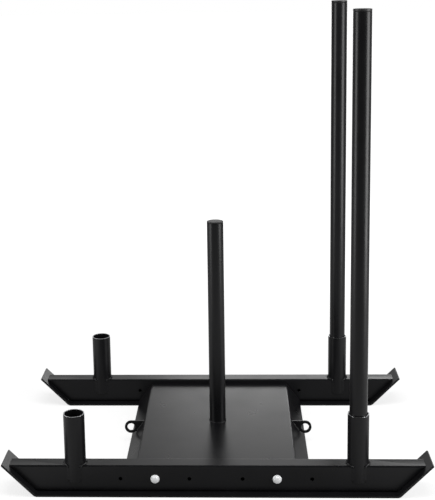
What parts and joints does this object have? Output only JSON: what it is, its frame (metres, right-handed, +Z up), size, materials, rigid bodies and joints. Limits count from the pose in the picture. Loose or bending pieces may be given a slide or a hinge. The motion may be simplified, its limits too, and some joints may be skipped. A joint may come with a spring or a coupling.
{
  "type": "weight sled",
  "caption": "Push and pull weight sled with bent-up skid runners, a central plate post on a bent deck, pole sleeves, tow lugs and loose push poles.",
  "frame": {"origin": "on the ground, in the middle of the sled's length and width", "axes": "+X towards the rear, where the push poles stand; +Y towards the right runner; +Z up"},
  "size_m": [1.21, 0.75, 1.35],
  "materials": {
    "powder_coat": "satin black powder coat on steel",
    "cap_plastic": "moulded black plastic",
    "bright_zinc": "bright zinc plate"
  },
  "bodies": {
    "frame": {"left_skid": "powder_coat", "right_skid": "powder_coat", "left_runner_beam": "powder_coat", "right_runner_beam": "powder_coat", "front_left_sleeve": "powder_coat", "front_right_sleeve": "powder_coat", "rear_left_sleeve": "powder_coat", "rear_right_sleeve": "powder_coat", "front_left_sleeve_floor": "powder_coat", "front_right_sleeve_floor": "powder_coat", "rear_left_sleeve_floor": "powder_coat", "rear_right_sleeve_floor": "powder_coat", "weight_post": "powder_coat", "weight_post_cap": "cap_plastic", "post_foot_plate": "powder_coat", "deck_plate": "powder_coat", "deck_left_end_plate": "powder_coat", "deck_right_end_plate": "powder_coat", "front_tow_lug": "powder_coat", "rear_tow_lug": "powder_coat", "front_left_deck_bolt": "bright_zinc", "front_right_deck_bolt": "bright_zinc", "rear_left_deck_bolt": "bright_zinc", "rear_right_deck_bolt": "bright_zinc", "front_left_deck_washer": "bright_zinc", "front_right_deck_washer": "bright_zinc", "rear_left_deck_washer": "bright_zinc", "rear_right_deck_washer": "bright_zinc", "front_left_deck_nut": "bright_zinc", "front_right_deck_nut": "bright_zinc", "rear_left_deck_nut": "bright_zinc", "rear_right_deck_nut": "bright_zinc"},
    "left_pole": {"left_push_pole": "powder_coat", "left_pole_cap": "cap_plastic"},
    "right_pole": {"right_push_pole": "powder_coat", "right_pole_cap": "cap_plastic"}
  },
  "joints": [
    {"name": "left_pole_lift", "type": "slide", "parent": "frame", "child": "left_pole", "axis": [0, 0, 1], "range_m": [0, 0.25]},
    {"name": "right_pole_lift", "type": "slide", "parent": "frame", "child": "right_pole", "axis": [0, 0, 1], "range_m": [0, 0.25]}
  ]
}
